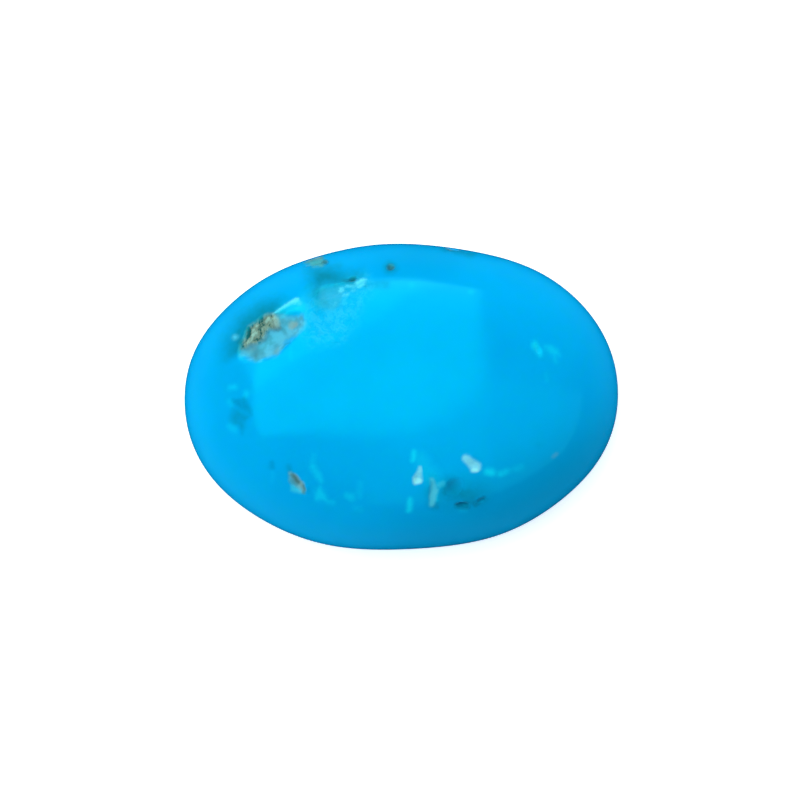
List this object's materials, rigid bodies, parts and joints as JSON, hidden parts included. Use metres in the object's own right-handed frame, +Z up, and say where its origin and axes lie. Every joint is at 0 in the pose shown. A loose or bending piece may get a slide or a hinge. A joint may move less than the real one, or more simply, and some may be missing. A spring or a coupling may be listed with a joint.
{
  "type": "turquoise cabochon",
  "caption": "Oval freeform turquoise cabochon with a low polished dome, a flat ground back, and natural pits and iron matrix in the crown.",
  "frame": {"origin": "middle of the flat back, under the middle of the stone's outline", "axes": "+X along the stone's length, +Y across its width, +Z up out of the domed crown"},
  "size_m": [0.02, 0.0142, 0.0052],
  "materials": {
    "turquoise": "polished crown, matte ground back"
  },
  "bodies": {
    "root": {"turquoise_stone": "turquoise"}
  },
  "joints": []
}
